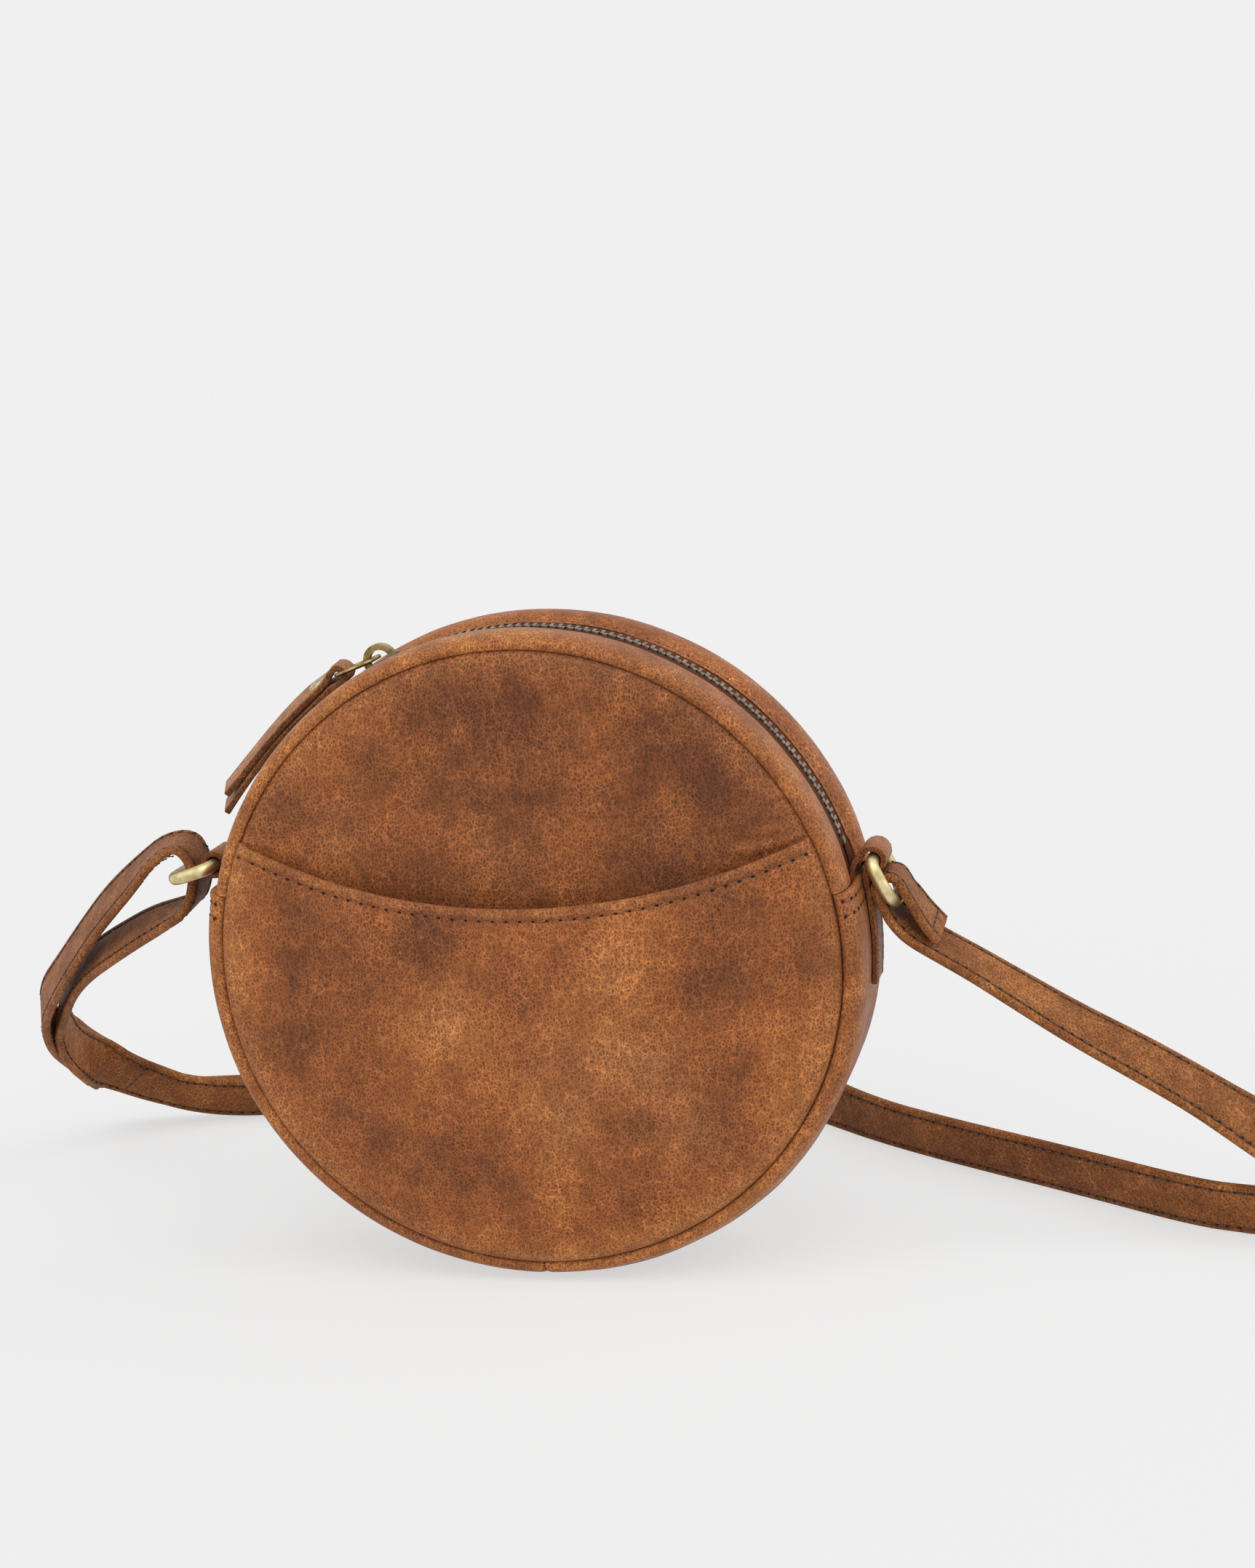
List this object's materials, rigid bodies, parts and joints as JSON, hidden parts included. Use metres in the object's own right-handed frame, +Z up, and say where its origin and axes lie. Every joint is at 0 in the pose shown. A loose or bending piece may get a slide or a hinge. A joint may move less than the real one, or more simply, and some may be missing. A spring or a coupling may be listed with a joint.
{
  "type": "circle bag",
  "caption": "Round brown leather crossbody bag with a zip over the top, a slip pocket in front, D-rings in leather tabs and an adjustable strap.",
  "frame": {"origin": "middle of the flat under the bag that it sits on", "axes": "+Z up, front pocket towards -Y, +X to the viewer's right"},
  "size_m": [0.4979, 0.189, 0.1994],
  "materials": {
    "body_leather": "waxed pull-up, fine grain",
    "strap_leather": "waxed pull-up",
    "pull_leather": "waxed, raw edges",
    "lining_cloth": "plain weave",
    "zip_tape": "herringbone tape",
    "zip_metal": "antique dark brass",
    "slider_metal": "dull nickel",
    "antique_brass": "matte antique gold"
  },
  "bodies": {
    "bag": {"front_panel": "body_leather", "front_pocket_panel": "body_leather", "back_panel": "body_leather", "zip_gusset_front": "body_leather", "zip_gusset_back": "body_leather", "lower_gusset_left": "body_leather", "lower_gusset_right": "body_leather", "ring_tab_left": "body_leather", "ring_tab_right": "body_leather", "strap_right": "strap_leather", "strap_back": "strap_leather", "strap_left_outer": "strap_leather", "strap_left_inner": "strap_leather", "strap_inner_tail": "strap_leather", "lining_front": "lining_cloth", "lining_back": "lining_cloth", "lining_gusset": "lining_cloth", "zipper_tape_front": "zip_tape", "zipper_tape_back": "zip_tape", "zipper_teeth_front": "zip_metal", "zipper_teeth_back": "zip_metal", "zipper_bottom_stop": "zip_metal", "zipper_top_stops": "zip_metal"},
    "zip_slider": {"zip_slider_body": "slider_metal", "slider_bridge": "antique_brass"},
    "pull_link": {"puller_link": "antique_brass"},
    "leather_pull": {"pull_tab": "pull_leather", "pull_tab_rivet": "antique_brass"},
    "ring_left": {"d_ring_left": "antique_brass"},
    "ring_right": {"d_ring_right": "antique_brass"},
    "strap_slide": {"strap_adjuster": "antique_brass", "strap_end_loop": "strap_leather"}
  },
  "joints": [
    {"name": "zip_slide", "type": "hinge", "parent": "bag", "child": "zip_slider", "pos_m": [0, 0, 0.1001], "axis": [0, -1, 0], "range_deg": [-93, 4.5], "deforming": ["zipper_teeth_front", "zipper_teeth_back"]},
    {"name": "link_swing", "type": "hinge", "parent": "zip_slider", "child": "pull_link", "pos_m": [-0.04796, 0, 0.18882], "axis": [0, 1, 0], "range_deg": [0, 120]},
    {"name": "pull_swing", "type": "hinge", "parent": "pull_link", "child": "leather_pull", "pos_m": [-0.05901, 0, 0.18467], "axis": [0, 1, 0], "range_deg": [-5, 60]},
    {"name": "ring_right_swing", "type": "hinge", "parent": "bag", "child": "ring_right", "pos_m": [0.10223, 0, 0.12632], "axis": [0, -1, 0], "range_deg": [-17, 83], "deforming": ["strap_right"]},
    {"name": "ring_left_swing", "type": "hinge", "parent": "bag", "child": "ring_left", "pos_m": [-0.10243, 0, 0.12656], "axis": [0, 1, 0], "range_deg": [-59, 55], "deforming": ["strap_left_outer", "strap_left_inner"]},
    {"name": "adjuster_slide", "type": "slide", "parent": "bag", "child": "strap_slide", "axis": [1, 0, 0], "range_m": [-0.02, 0.03], "deforming": ["strap_inner_tail"]}
  ]
}
